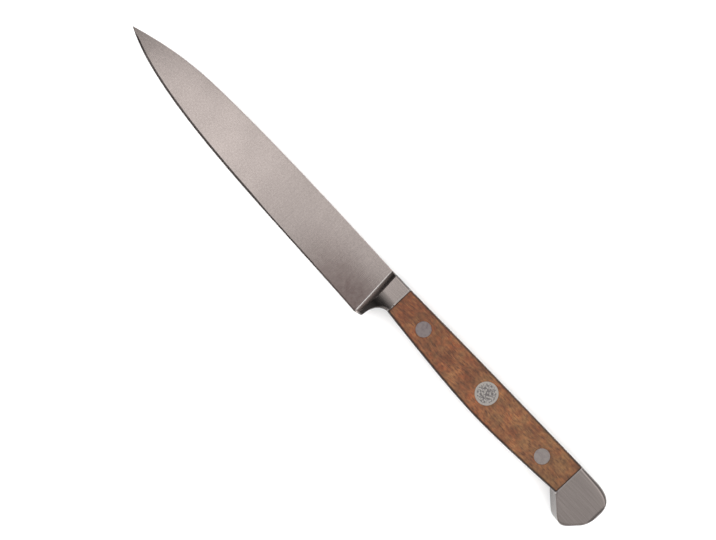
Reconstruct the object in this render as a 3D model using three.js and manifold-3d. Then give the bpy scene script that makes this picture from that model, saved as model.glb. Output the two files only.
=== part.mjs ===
// A forged paring knife with a riveted wooden handle, lying on its right side, in millimetres with +Z up.
// One steel forging is blade, bolster, full-length tang and pommel. Two wooden scales lie on the tang
// between bolster and pommel, and three rivets, each a tube half and a pin half, clamp them to it.
//
// The knife is drawn with x along its length from tip to butt, y from cutting edge to spine, and z
// through its thickness. x = 0 is the bolster's rear face, y = 0 the spine there, z = 0 the middle plane.

import * as THREE from "three";
import { mergeVertices } from "three/addons/utils/BufferGeometryUtils.js";
import Module from "manifold-3d";

const wasm = await Module();
wasm.setup();

// Blade
const BLADE_LENGTH = 130; // from the tip to the middle of the plunge line, where the bolster begins
const HEEL_HEIGHT = 20.25; // from the spine down to the cutting edge, beside the bolster
const SPINE_THICKNESS = 2.4; // at the bolster
const DISTAL_TAPER = 0.5; // power by which the spine thins out to the tip
const TIP_DROP = 8.2; // tip below the spine line
const FALL_LENGTH = 35; // stretch behind the tip along which the spine falls to it
const FALL_START = 1.1; // how far the spine is down where that stretch begins
const FALL_BEND = 18; // distance of that stretch's bend from the tip
const CROWN_SLOPE = 0.065; // rise of the spine where the falling stretch ends
const CROWN_BEND = 31; // distance from there to the middle of the spine's slight crown
const EDGE_TIP_ANGLE = THREE.MathUtils.degToRad(26.4); // belly of the cutting edge, at the tip
const EDGE_TIP_REACH = 28;
const EDGE_HEEL_ANGLE = THREE.MathUtils.degToRad(2.3); // slant of the cutting edge, at the heel
const EDGE_HEEL_REACH = 44;
const BEVEL_HEIGHT = 0.6; // ground facet along the cutting edge
const BEVEL_THICKNESS = 0.5; // blade thickness where that facet begins
const EDGE_THICKNESS = 0.08; // flat left on the cutting edge

// Bolster
const BOLSTER_LENGTH = 8.9; // from the middle of the plunge line to the scales
const PLUNGE_LEAN = 1.4; // how far the plunge line runs backwards between spine and edge
const FILLET_LENGTH = 2.6; // hollow ramp from the blade's side up to the bolster's side
const FILLET_POWER = 1.7; // how late the ramp steepens
const FILLET_CREST = 0.4; // rounding where the ramp meets the bolster's side
const FACE_DEPTH = 7; // flat part of the bolster's side, measured down from the spine
const SCOOP_LENGTH = 0.7; // stretch in front of the scales where the hollow under the face fades out
const SCOOP_DEPTH = 25; // depth below the spine, beyond the heel, where the hollow would be at its deepest
const SCOOP_THICKNESS = 1; // of the bolster there, so that its tongue beside the heel is thicker
const CHOIL_LENGTH = 5.2; // hollow curve from the heel's tongue back to the handle
const FOOT_RISE = 0.9; // by which the tongue's foot slants up behind the cutting edge
const FOOT_ROUND = 0.7; // rounding of the foot's rear corner

// Handle
const HANDLE_THICKNESS = 14;
const HANDLE_HEIGHT = 11.5; // at the bolster
const HANDLE_RISE = 1.45; // spine at the pommel above the spine at the bolster
const RISE_BEND = 1; // height of the spine's bend half way along the scales
const SCALE_LENGTH = 88.2; // between bolster and pommel
const TANG_THICKNESS = 3;
const BELLY_DROP = 14.3; // lowest point of the grip below the spine at the bolster
const BELLY_POSITION = 48; // of that point behind the bolster
const BELLY_FRONT_REACH = 16; // roundness of the grip's belly towards the bolster
const BELLY_REAR_REACH = 11; // and towards the pommel
const BELLY_END_DROP = 11.8; // grip's underside at the pommel, below the spine at the bolster
const EDGE_ROUND = 1.2; // rounded long edges of bolster and scales
const BOND_LINE = 0.1; // glue film between a scale and the steel

// Pommel
const POMMEL_LENGTH = 17.1; // from the scales to the butt
const BUTT_SHOULDER = 8; // straight top before the butt's upper curve
const BUTT_UPPER_DROP = 7; // height of that curve
const BUTT_UPPER_FULLNESS = 0.68; // how far its corner is filled out, from 0 to 1
const BUTT_LOWER_DROP = 12.6; // corner between butt and slanted underside, below the pommel's top
const BUTT_LOWER_ROUND = 3.5; // rounding of that corner
const BEAK_POSITION = 9.6; // beak's sharp corner behind the scales, before it is rounded
const BEAK_DROP = 19.9; // the same corner below the spine at the bolster
const BEAK_ROUND = 4.4; // rounding of that corner
const BUTT_ROUND = 2; // rounded edges of the pommel at the butt, growing from the scales' edges
const BEAK_EDGE_ROUND = 0.5; // tighter edges along the beak's slanted front
const BEAK_EDGE_RUN = 2; // stretch behind the scales where the lower edges tighten

// Rivets
const RIVET_FIT = 0.1; // clearance round and under a rivet, in the wood and in the steel
const RIVET_END_ROOM = 0.5; // between a tube's open end and the other half's head
const SMALL_HEAD = 5.8; // diameters and head thickness of the front and rear rivets
const SMALL_TUBE = 4;
const SMALL_PIN = 2.4;
const SMALL_HEAD_THICKNESS = 1.6;
const LARGE_HEAD = 8.6; // and of the middle one
const LARGE_TUBE = 5.6;
const LARGE_PIN = 3.4;
const LARGE_HEAD_THICKNESS = 1.8;
const FRONT_RIVET_INSET = 13.4; // centre behind the bolster
const REAR_RIVET_INSET = 12.7; // centre in front of the pommel
const MIDDLE_RIVET_SHIFT = 1.1; // behind the point half way between the other two
const FRONT_RIVET_DROP = 6.4; // centres below the spine at the bolster
const MIDDLE_RIVET_DROP = 5.6;
const REAR_RIVET_DROP = 6.5;

// Fineness of the curved surfaces
const BLADE_STATIONS = 22;
const TIP_CROWDING = 1.5; // power by which the blade's sections draw together towards the tip
const FILLET_STATIONS = 11;
const CHOIL_STATIONS = 10;
const HANDLE_STATIONS = 14;
const POMMEL_STATIONS = 16;
const SIDE_POINTS = 7;
const ROUND_POINTS = 4;
const CURVE_POINTS = 64;
const RIVET_SIDES = 36;

// Places along the knife that follow from the sizes above
const halfHandle = HANDLE_THICKNESS / 2;
const halfTang = TANG_THICKNESS / 2;
const tipX = -BOLSTER_LENGTH - BLADE_LENGTH;
const plungeSpineX = -BOLSTER_LENGTH - PLUNGE_LEAN / 2;
const plungeEdgeX = -BOLSTER_LENGTH + PLUNGE_LEAN / 2;
const buttX = SCALE_LENGTH + POMMEL_LENGTH;

// Side outline from tip to butt, above: the spine, the handle's top and the pommel's top
function upperOutline() {
  const fallX = tipX + FALL_LENGTH;
  const fallBendY = -FALL_START - CROWN_SLOPE * (FALL_LENGTH - FALL_BEND);
  const crownY = -FALL_START + CROWN_SLOPE * CROWN_BEND;
  const shoulderX = SCALE_LENGTH + BUTT_SHOULDER;
  const cornerReach = (buttX - shoulderX) * BUTT_UPPER_FULLNESS;
  const cornerDrop = BUTT_UPPER_DROP * (1 - BUTT_UPPER_FULLNESS);
  const line = new THREE.Path();
  line.moveTo(tipX, -TIP_DROP);
  line.quadraticCurveTo(tipX + FALL_BEND, fallBendY, fallX, -FALL_START);
  line.quadraticCurveTo(fallX + CROWN_BEND, crownY, plungeSpineX, 0);
  line.lineTo(0, 0);
  line.quadraticCurveTo(SCALE_LENGTH / 2, RISE_BEND, SCALE_LENGTH, HANDLE_RISE);
  line.lineTo(shoulderX, HANDLE_RISE);
  line.bezierCurveTo(
    shoulderX + cornerReach, HANDLE_RISE,
    buttX, HANDLE_RISE - cornerDrop,
    buttX, HANDLE_RISE - BUTT_UPPER_DROP,
  );
  return line;
}

// Side outline from tip to butt, below: the cutting edge, the bolster's foot and hollow, grip and beak
function lowerOutline() {
  const edgeBend = new THREE.Vector2(tipX, -TIP_DROP);
  edgeBend.x += EDGE_TIP_REACH * Math.cos(EDGE_TIP_ANGLE);
  edgeBend.y -= EDGE_TIP_REACH * Math.sin(EDGE_TIP_ANGLE);
  const heel = new THREE.Vector2(plungeEdgeX, -HEEL_HEIGHT);
  const heelBend = heel.clone();
  heelBend.x -= EDGE_HEEL_REACH * Math.cos(EDGE_HEEL_ANGLE);
  heelBend.y += EDGE_HEEL_REACH * Math.sin(EDGE_HEEL_ANGLE);
  const foot = new THREE.Vector2(-CHOIL_LENGTH, -HEEL_HEIGHT + FOOT_RISE);
  const gripStart = new THREE.Vector2(0, -HANDLE_HEIGHT);
  const choilBottom = foot.y + FOOT_ROUND;
  const gripEnd = new THREE.Vector2(SCALE_LENGTH, -BELLY_END_DROP);
  const beak = new THREE.Vector2(SCALE_LENGTH + BEAK_POSITION, -BEAK_DROP);
  const buttCorner = new THREE.Vector2(buttX, HANDLE_RISE - BUTT_LOWER_DROP);
  const line = new THREE.Path();
  line.moveTo(tipX, -TIP_DROP);
  line.bezierCurveTo(edgeBend.x, edgeBend.y, heelBend.x, heelBend.y, heel.x, heel.y);
  roundCorner(line, heel, foot, new THREE.Vector2(foot.x, gripStart.y), FOOT_ROUND);
  line.absellipse(0, choilBottom, CHOIL_LENGTH, gripStart.y - choilBottom, Math.PI, Math.PI / 2, true);
  line.quadraticCurveTo(BELLY_POSITION - BELLY_FRONT_REACH, -BELLY_DROP, BELLY_POSITION, -BELLY_DROP);
  line.quadraticCurveTo(BELLY_POSITION + BELLY_REAR_REACH, -BELLY_DROP, gripEnd.x, gripEnd.y);
  roundCorner(line, gripEnd, beak, buttCorner, BEAK_ROUND);
  roundCorner(line, beak, buttCorner, new THREE.Vector2(buttX, HANDLE_RISE), BUTT_LOWER_ROUND);
  return line;
}

// Straight line towards a corner, then a curve that starts and ends `reach` away from it
function roundCorner(line, from, corner, to, reach) {
  const entry = corner.clone().add(from.clone().sub(corner).setLength(reach));
  const exit = corner.clone().add(to.clone().sub(corner).setLength(reach));
  line.lineTo(entry.x, entry.y);
  line.quadraticCurveTo(corner.x, corner.y, exit.x, exit.y);
}

// Height of an outline at any x
function heightAlong(outline) {
  const points = outline.getPoints(CURVE_POINTS);
  return (x) => {
    const next = points.findIndex((point) => point.x >= x);
    if (next === -1) return points[points.length - 1].y;
    if (next === 0) return points[0].y;
    const before = points[next - 1];
    const after = points[next];
    return THREE.MathUtils.mapLinear(x, before.x, after.x, before.y, after.y);
  };
}

const topAt = heightAlong(upperOutline());
const bottomAt = heightAlong(lowerOutline());

// Half thickness of the blade at a distance below its spine: a wedge from the spine down to the bevel
function bladeHalf(x, depth) {
  const along = THREE.MathUtils.clamp((x - tipX) / BLADE_LENGTH, 0, 1);
  const spineHalf = (SPINE_THICKNESS / 2) * along ** DISTAL_TAPER;
  const bevelHalf = Math.min(BEVEL_THICKNESS / 2, spineHalf);
  const height = Math.max(topAt(x) - bottomAt(x), BEVEL_HEIGHT);
  const down = THREE.MathUtils.clamp(depth / height, 0, 1);
  return THREE.MathUtils.lerp(spineHalf, bevelHalf, down);
}

// Half thickness of bolster, handle and pommel: flat sides, hollowed below the bolster's face down to
// the tongue beside the heel, and rounded over at the butt
function gripHalf(x, depth) {
  const below = THREE.MathUtils.smoothstep(depth, FACE_DEPTH, SCOOP_DEPTH);
  const inFront = THREE.MathUtils.smoothstep(-x, 0, SCOOP_LENGTH);
  const scoop = (halfHandle - SCOOP_THICKNESS / 2) * below * inFront;
  const over = Math.max(x - (buttX - BUTT_ROUND), 0);
  const turnedIn = BUTT_ROUND - Math.sqrt(Math.max(BUTT_ROUND ** 2 - over ** 2, 0));
  return halfHandle - scoop - turnedIn;
}

// How far a point lies behind the leaning plunge line, as a share of the hollow ramp's length
function rampShare(x, depth) {
  const plungeX = plungeSpineX + (PLUNGE_LEAN * depth) / HEEL_HEIGHT;
  return Math.max(x - plungeX, 0) / FILLET_LENGTH;
}

// Half thickness of the whole knife, with the ramp from blade to bolster rounded off at its crest
function halfThickness(x, depth) {
  const ramp = bladeHalf(x, depth) + halfHandle * rampShare(x, depth) ** FILLET_POWER;
  const side = gripHalf(x, depth);
  const share = THREE.MathUtils.clamp(0.5 + (side - ramp) / (2 * FILLET_CREST), 0, 1);
  return THREE.MathUtils.lerp(side, ramp, share) - FILLET_CREST * share * (1 - share);
}

// Rounding of the long edges at x: even up to the scales' rear ends, then growing towards the butt
function edgeRound(x) {
  const along = THREE.MathUtils.clamp((x - SCALE_LENGTH) / POMMEL_LENGTH, 0, 1);
  return THREE.MathUtils.lerp(EDGE_ROUND, BUTT_ROUND, along);
}

// Rounding of the lower long edges at x: the same, but tighter along the beak's slanted front
function lowerRound(x) {
  const beakX = SCALE_LENGTH + BEAK_POSITION;
  const tightening = THREE.MathUtils.smoothstep(x, SCALE_LENGTH, SCALE_LENGTH + BEAK_EDGE_RUN);
  const easing = THREE.MathUtils.smoothstep(x, beakX - BEAK_ROUND / 2, beakX + BEAK_ROUND / 2);
  return THREE.MathUtils.lerp(edgeRound(x), BEAK_EDGE_ROUND, tightening * (1 - easing));
}

// Left half of the knife's section at x, from the spine down to the edge, as y and z pairs.
// Above it ends in a round, and below in the blade's bevel or, from the bolster on, in a round.
function halfSection(x) {
  const top = topAt(x);
  const height = top - bottomAt(x);
  const topRound = Math.min(edgeRound(x), halfThickness(x, 0) / 4, height / 3);
  const stout = Math.min(rampShare(x, height), 1);
  const bevel = Math.min(BEVEL_HEIGHT, height / 3);
  const bottomRound = Math.min(lowerRound(x), halfThickness(x, height) / 2, height / 3);
  const bottomEnd = THREE.MathUtils.lerp(bevel, bottomRound, stout);
  const edgeHalf = Math.min(EDGE_THICKNESS / 2, bladeHalf(x, height));
  const points = [];
  for (let step = 0; step <= ROUND_POINTS; step++) {
    const turn = ((Math.PI / 2) * step) / ROUND_POINTS;
    const depth = topRound * (1 - Math.cos(turn));
    points.push([top - depth, halfThickness(x, depth) - topRound * (1 - Math.sin(turn))]);
  }
  for (let step = 1; step < SIDE_POINTS; step++) {
    const depth = THREE.MathUtils.lerp(topRound, height - bottomEnd, step / SIDE_POINTS);
    points.push([top - depth, halfThickness(x, depth)]);
  }
  for (let step = 0; step <= ROUND_POINTS; step++) {
    const share = step / ROUND_POINTS;
    const turn = (Math.PI / 2) * share;
    const depth = height - bottomEnd * (1 - THREE.MathUtils.lerp(share, Math.sin(turn), stout));
    const half = halfThickness(x, depth);
    const bevelled = THREE.MathUtils.lerp(half, edgeHalf, share);
    const rounded = half - bottomRound * (1 - Math.cos(turn));
    points.push([top - depth, THREE.MathUtils.lerp(bevelled, rounded, stout)]);
  }
  return points;
}

// Places of the sections along the knife, closer together where the surface turns quickly
function stations() {
  const places = [];
  for (let step = 0; step < BLADE_STATIONS; step++) {
    const share = (step / BLADE_STATIONS) ** TIP_CROWDING;
    places.push(THREE.MathUtils.lerp(tipX, plungeSpineX, share));
  }
  for (let step = 0; step < FILLET_STATIONS; step++) {
    places.push(THREE.MathUtils.lerp(plungeSpineX, -CHOIL_LENGTH, step / FILLET_STATIONS));
  }
  for (let step = 0; step < CHOIL_STATIONS; step++) {
    places.push(-CHOIL_LENGTH * Math.cos(((Math.PI / 2) * step) / CHOIL_STATIONS));
  }
  for (let step = 0; step < HANDLE_STATIONS; step++) {
    places.push((SCALE_LENGTH * step) / HANDLE_STATIONS);
  }
  for (let step = 0; step <= POMMEL_STATIONS; step++) {
    places.push(SCALE_LENGTH + POMMEL_LENGTH * Math.sin(((Math.PI / 2) * step) / POMMEL_STATIONS));
  }
  return places;
}

// The knife's outer form without any parting: sections skinned from the tip's point to the flat butt
function knifeForm() {
  const rings = stations().map((x) => {
    const half = halfSection(x);
    const left = half.map(([y, z]) => [x, y, z]);
    const right = half.map(([y, z]) => [x, y, -z]).reverse();
    return [...left, ...right];
  });
  const size = rings[0].length;
  const index = [];
  for (let ring = 0; ring + 1 < rings.length; ring++) {
    for (let side = 0; side < size; side++) {
      const here = ring * size + side;
      const beside = ring * size + ((side + 1) % size);
      index.push(here, beside, here + size, beside, beside + size, here + size);
    }
  }
  const last = (rings.length - 1) * size;
  for (let side = 1; side + 1 < size; side++) index.push(last, last + side, last + side + 1);
  const geometry = new THREE.BufferGeometry();
  geometry.setAttribute("position", new THREE.Float32BufferAttribute(rings.flat(2), 3));
  geometry.setIndex(index);
  return solid(geometry);
}

// A closed geometry as a solid for cutting, with shared corners merged and collapsed triangles left out
function solid(geometry) {
  const bare = new THREE.BufferGeometry();
  bare.setAttribute("position", geometry.getAttribute("position"));
  bare.setIndex(geometry.getIndex());
  const merged = mergeVertices(bare);
  const corners = merged.getIndex().array;
  const triangles = [];
  for (let at = 0; at < corners.length; at += 3) {
    const [a, b, c] = corners.slice(at, at + 3);
    if (a !== b && b !== c && c !== a) triangles.push(a, b, c);
  }
  const vertProperties = new Float32Array(merged.getAttribute("position").array);
  const triVerts = new Uint32Array(triangles);
  return new wasm.Manifold(new wasm.Mesh({ numProp: 3, vertProperties, triVerts }));
}

// A cut solid as a geometry again
function geometryOf(body) {
  const mesh = body.getMesh();
  const geometry = new THREE.BufferGeometry();
  geometry.setAttribute("position", new THREE.BufferAttribute(mesh.vertProperties, 3));
  geometry.setIndex(new THREE.BufferAttribute(mesh.triVerts, 1));
  geometry.computeVertexNormals();
  return geometry;
}

// Block over one side of the tang, from `inset` inside the scale's seat to beyond the handle's side
function seatBlock(side, inset) {
  const length = SCALE_LENGTH - 2 * inset;
  const inner = halfTang + inset;
  const depth = HANDLE_THICKNESS;
  const block = new THREE.BoxGeometry(length, 4 * HEEL_HEIGHT, depth);
  block.translate(SCALE_LENGTH / 2, 0, side * (inner + depth / 2));
  return solid(block);
}

// Upright cylinder at a rivet's place
function drill(rivet, diameter, low, high) {
  const cylinder = new THREE.CylinderGeometry(diameter / 2, diameter / 2, high - low, RIVET_SIDES);
  cylinder.rotateX(Math.PI / 2);
  cylinder.translate(rivet.x, rivet.y, (low + high) / 2);
  return solid(cylinder);
}

const frontRivetX = FRONT_RIVET_INSET;
const rearRivetX = SCALE_LENGTH - REAR_RIVET_INSET;
const middleRivetX = (frontRivetX + rearRivetX) / 2 + MIDDLE_RIVET_SHIFT;
const small = { head: SMALL_HEAD, tube: SMALL_TUBE, pin: SMALL_PIN, headThickness: SMALL_HEAD_THICKNESS };
const large = { head: LARGE_HEAD, tube: LARGE_TUBE, pin: LARGE_PIN, headThickness: LARGE_HEAD_THICKNESS };
const rivets = [
  { name: "front_rivet", x: frontRivetX, y: -FRONT_RIVET_DROP, ...small },
  { name: "middle_rivet", x: middleRivetX, y: -MIDDLE_RIVET_DROP, ...large },
  { name: "rear_rivet", x: rearRivetX, y: -REAR_RIVET_DROP, ...small },
];

// Blade, bolster, tang and pommel in one piece: the outer form less both scales' seats and the rivet holes
function bladeForging(form) {
  let body = form.subtract(seatBlock(1, 0)).subtract(seatBlock(-1, 0));
  for (const rivet of rivets) {
    body = body.subtract(drill(rivet, rivet.tube + 2 * RIVET_FIT, -TANG_THICKNESS, TANG_THICKNESS));
  }
  return geometryOf(body);
}

// One scale: what the outer form holds in a seat, drilled for the rivets and counterbored for their heads
function scale(form, side) {
  let body = form.intersect(seatBlock(side, BOND_LINE));
  for (const rivet of rivets) {
    const seat = halfHandle - rivet.headThickness - RIVET_FIT;
    const ends = [side * seat, side * HANDLE_THICKNESS];
    body = body.subtract(drill(rivet, rivet.tube + 2 * RIVET_FIT, -HANDLE_THICKNESS, HANDLE_THICKNESS));
    body = body.subtract(drill(rivet, rivet.head + 2 * RIVET_FIT, Math.min(...ends), Math.max(...ends)));
  }
  return geometryOf(body);
}

// Round solid of a rivet, turned from a profile of radius and height pairs
function turned(rivet, profile) {
  const points = profile.map(([radius, height]) => new THREE.Vector2(radius, height));
  const lathe = new THREE.LatheGeometry(points, RIVET_SIDES);
  lathe.rotateX(Math.PI / 2);
  lathe.translate(rivet.x, rivet.y, 0);
  return geometryOf(solid(lathe));
}

// Half with the tube: its head lies flush in the right scale, and its bore takes the pin
function rivetTube(rivet) {
  const headTop = -halfHandle + rivet.headThickness;
  const open = halfHandle - rivet.headThickness - RIVET_END_ROOM;
  const bore = rivet.pin / 2 + RIVET_FIT;
  return turned(rivet, [
    [0, -halfHandle],
    [rivet.head / 2, -halfHandle],
    [rivet.head / 2, headTop],
    [rivet.tube / 2, headTop],
    [rivet.tube / 2, open],
    [bore, open],
    [bore, headTop],
    [0, headTop],
  ]);
}

// Half with the pin: its head lies flush in the left scale, and its pin fills the other half's bore
function rivetPin(rivet) {
  const headBottom = halfHandle - rivet.headThickness;
  const end = -headBottom + RIVET_END_ROOM;
  return turned(rivet, [
    [0, end],
    [rivet.pin / 2, end],
    [rivet.pin / 2, headBottom],
    [rivet.head / 2, headBottom],
    [rivet.head / 2, halfHandle],
    [0, halfHandle],
  ]);
}

const satinSteel = new THREE.MeshStandardMaterial({ color: 0xb8aca8, roughness: 0.38, metalness: 1 });
const oiledWalnut = new THREE.MeshStandardMaterial({ color: 0x8c6044, roughness: 0.55, metalness: 0 });
const rivetSteel = new THREE.MeshStandardMaterial({ color: 0x9a908e, roughness: 0.32, metalness: 1 });

const knife = new THREE.Group();

function place(name, geometry, material) {
  const mesh = new THREE.Mesh(geometry, material);
  mesh.name = name;
  knife.add(mesh);
}

const form = knifeForm();
place("blade_forging", bladeForging(form), satinSteel);
place("left_scale", scale(form, 1), oiledWalnut);
place("right_scale", scale(form, -1), oiledWalnut);
for (const rivet of rivets) {
  place(`${rivet.name}_tube`, rivetTube(rivet), rivetSteel);
  place(`${rivet.name}_pin`, rivetPin(rivet), rivetSteel);
}

// The origin is the middle of the underside of the knife's box
const box = new THREE.Box3().setFromObject(knife);
const middle = box.getCenter(new THREE.Vector3());
knife.position.set(-middle.x, -middle.y, -box.min.z);

export default knife;
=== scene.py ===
import math
from collections import namedtuple

import bmesh
import bpy
import numpy as np
from mathutils import Matrix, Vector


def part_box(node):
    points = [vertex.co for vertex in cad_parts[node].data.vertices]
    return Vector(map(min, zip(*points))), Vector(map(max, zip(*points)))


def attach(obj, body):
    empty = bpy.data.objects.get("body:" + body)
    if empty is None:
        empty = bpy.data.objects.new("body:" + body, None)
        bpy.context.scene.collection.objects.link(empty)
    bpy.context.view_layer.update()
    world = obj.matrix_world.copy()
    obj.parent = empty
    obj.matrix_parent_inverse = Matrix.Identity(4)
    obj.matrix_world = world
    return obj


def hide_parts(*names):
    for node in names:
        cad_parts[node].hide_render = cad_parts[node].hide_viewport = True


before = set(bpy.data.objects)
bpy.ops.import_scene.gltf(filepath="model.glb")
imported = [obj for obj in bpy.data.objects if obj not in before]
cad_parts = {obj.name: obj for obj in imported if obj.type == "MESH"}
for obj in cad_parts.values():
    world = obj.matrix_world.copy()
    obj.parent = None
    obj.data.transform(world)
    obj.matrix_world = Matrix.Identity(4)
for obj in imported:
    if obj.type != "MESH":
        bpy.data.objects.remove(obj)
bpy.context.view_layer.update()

# BLADE FORGING. Blade, bolster, tang and pommel are one piece of stainless steel, drop-forged and hardened.
# The blade is ground to a wedge with the wheel running across it. Bolster and pommel are belted along the
# handle, together with the wood, until they are flush with it.

# Sizes are millimetres on the knife's own drawing. Its x runs from tip to butt with 0 at the bolster's rear
# face, y from cutting edge to spine with 0 at the bolster's top, and z from right to left.
mm_per_metre = 1000.0

# Blade
blade_length = 130.0
heel_height = 20.25
spine_thickness = 2.4
distal_taper = 0.5  # power by which the spine thins out to the tip
tip_drop = 8.2  # of the tip below the bolster's top
fall_length = 35.0  # stretch behind the tip along which the spine falls to it
fall_start = 1.1  # how far the spine is down where that stretch begins
fall_bend = 18.0  # distance of that stretch's bend from the tip
crown_slope = 0.065  # of the spine where that stretch meets its slight crown
crown_bend = 31.0  # distance from there to the middle of the crown
edge_tip_angle = np.radians(26.4)  # belly of the cutting edge, at the tip
edge_tip_reach = 28.0
edge_heel_angle = np.radians(2.3)  # slant of the cutting edge, at the heel
edge_heel_reach = 44.0
bevel_height = 0.6  # ground facet along the cutting edge
bevel_thickness = 0.5  # of the blade where that facet begins
honed_rise = 0.25  # by which the facet is taller from belly to tip, where a knife is honed most
honed_start, honed_end = -54.0, -66.0
edge_thickness = 0.08

# Bolster
bolster_length = 8.9
plunge_lean = 1.4  # how far the plunge line runs backwards between spine and edge
lip_length, lip_rise = 0.35, 0.055  # narrow step that the wheel leaves along the plunge line
fillet_length = 2.6  # hollow ramp from the blade's side up to the bolster's side
fillet_power = 1.7  # how late the ramp steepens
fillet_crest = 0.4  # rounding where the ramp meets the bolster's side
face_depth = 7.0  # flat part of the bolster's side, down from the spine
scoop_length = 0.3  # stretch in front of the scales where the hollow under that face fades out
scoop_depth = 25.0  # depth below the spine where the hollow would be at its deepest
scoop_thickness = 1.0  # of the bolster there
choil_length = 5.2  # hollow curve from the heel's tongue back to the handle
foot_rise, foot_round = 0.9, 0.7  # slant and rounded corner of the tongue's foot

# Handle and pommel
handle_thickness = 14.0
tang_thickness = 3.0
handle_height = 11.5  # at the bolster
handle_rise = 1.45  # of the handle's top, from bolster to pommel
rise_bend = 1.0  # height of that rise's bend, half way along the scales
scale_length = 88.2
belly_position, belly_drop = 48.0, 14.3  # lowest point of the grip
belly_front_reach, belly_rear_reach = 16.0, 11.0
belly_end_drop = 11.8  # of the grip's underside at the pommel
edge_round = 1.2  # rounded long edges of bolster and scales
pommel_length = 17.1
butt_shoulder = 8.0  # straight top before the butt's upper curve
butt_upper_drop = 7.0  # height of that curve
butt_upper_fullness = 0.68  # how far its corner is filled out, from 0 to 1
butt_lower_drop, butt_lower_reach = 12.6, 3.5  # corner between the butt and the slanted underside
butt_round = 2.0  # rounded edges at the butt, growing from the scales' edges
beak_position, beak_drop, beak_reach = 9.6, 19.9, 4.4
beak_edge_round, beak_edge_run = 0.5, 2.0  # tighter edges along the beak's slanted front

half_handle = handle_thickness / 2
half_tang = tang_thickness / 2
tip_x = -bolster_length - blade_length
plunge_spine_x = -bolster_length - plunge_lean / 2
plunge_edge_x = -bolster_length + plunge_lean / 2
butt_x = scale_length + pommel_length
beak_x = scale_length + beak_position

low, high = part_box("blade_forging")
drawing_origin = (
    low.x * mm_per_metre - tip_x,
    high.y * mm_per_metre - handle_rise,
    (low.z + high.z) / 2 * mm_per_metre,
)
drawing_to_frame = Matrix.Scale(1 / mm_per_metre, 4) @ Matrix.Translation(drawing_origin)

curve_points = 160


def curve(*bends):
    """Points along a Bezier curve, given its two ends and the bends between them."""
    share = np.linspace(0, 1, curve_points)[:, None]
    line = [np.array(bend, float) for bend in bends]
    while len(line) > 1:
        line = [a + (b - a) * share for a, b in zip(line, line[1:])]
    return line[0]


def rounded(before, corner, after, reach):
    """Curve round a corner of the outline, starting and ending `reach` away from it."""
    before, corner, after = (np.array(point, float) for point in (before, corner, after))
    entry = corner + (before - corner) * reach / np.linalg.norm(before - corner)
    leave = corner + (after - corner) * reach / np.linalg.norm(after - corner)
    return curve(entry, corner, leave)


# Upper outline: the spine rises from the tip to a slight crown, and the handle's top to a full round butt
tip = (tip_x, -tip_drop)
fall_x = tip_x + fall_length
fall_bend_y = -fall_start - crown_slope * (fall_length - fall_bend)
crown_y = -fall_start + crown_slope * crown_bend
shoulder_x = scale_length + butt_shoulder
upper_reach = (butt_x - shoulder_x) * butt_upper_fullness
upper_drop = butt_upper_drop * (1 - butt_upper_fullness)
spine = np.vstack([
    curve(tip, (tip_x + fall_bend, fall_bend_y), (fall_x, -fall_start)),
    curve((fall_x, -fall_start), (fall_x + crown_bend, crown_y), (plunge_spine_x, 0.0)),
    curve((0.0, 0.0), (scale_length / 2, rise_bend), (scale_length, handle_rise)),
    curve((shoulder_x, handle_rise), (shoulder_x + upper_reach, handle_rise),
          (butt_x, handle_rise - upper_drop), (butt_x, handle_rise - butt_upper_drop)),
])

# Lower outline: cutting edge, slanted foot, the hollow behind the heel, the grip's belly and the beak
heel = (plunge_edge_x, -heel_height)
edge_bend = (
    tip_x + edge_tip_reach * np.cos(edge_tip_angle),
    -tip_drop - edge_tip_reach * np.sin(edge_tip_angle),
)
heel_bend = (
    plunge_edge_x - edge_heel_reach * np.cos(edge_heel_angle),
    -heel_height + edge_heel_reach * np.sin(edge_heel_angle),
)
foot = (-choil_length, foot_rise - heel_height)
choil_drop = heel_height - foot_rise - foot_round
choil_turn = np.linspace(0, np.pi / 2, curve_points)
belly = (belly_position, -belly_drop)
grip_end = (scale_length, -belly_end_drop)
beak = (beak_x, -beak_drop)
butt_corner = (butt_x, handle_rise - butt_lower_drop)
underside = np.vstack([
    curve(tip, edge_bend, heel_bend, heel),
    rounded(heel, foot, (-choil_length, 0.0), foot_round),
    np.column_stack([
        -choil_length * np.cos(choil_turn),
        -choil_drop + (choil_drop - handle_height) * np.sin(choil_turn),
    ]),
    curve((0.0, -handle_height), (belly_position - belly_front_reach, -belly_drop), belly),
    curve(belly, (belly_position + belly_rear_reach, -belly_drop), grip_end),
    rounded(grip_end, beak, butt_corner, beak_reach),
    rounded(beak, butt_corner, (butt_x, 0.0), butt_lower_reach),
])


def top_at(x):
    """Height of the upper outline."""
    return np.interp(x, spine[:, 0], spine[:, 1])


def bottom_at(x):
    """Height of the lower outline."""
    return np.interp(x, underside[:, 0], underside[:, 1])


def smoothstep(value, start, end):
    """Smooth change from 0 at the start to 1 at the end."""
    share = np.clip((value - start) / (end - start), 0, 1)
    return share * share * (3 - 2 * share)


def honed_height(x):
    """Height that honing has given the cutting bevel."""
    return bevel_height + honed_rise * smoothstep(-x, -honed_start, -honed_end)


def bevel_at(x):
    """Height of the cutting bevel, which is no more than a fifth of the blade at the very tip."""
    return np.minimum(honed_height(x), (top_at(x) - bottom_at(x)) / 5)


def blade_half(x, depth):
    """Half thickness of the blade's wedge at a depth below the spine."""
    spine_half = spine_thickness / 2 * np.clip((x - tip_x) / blade_length, 0, 1) ** distal_taper
    height = max(top_at(x) - bottom_at(x), bevel_height)
    bevel_half = bevel_thickness / 2 * honed_height(x) / bevel_height
    return spine_half + (min(bevel_half, spine_half) - spine_half) * np.clip(depth / height, 0, 1)


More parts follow.
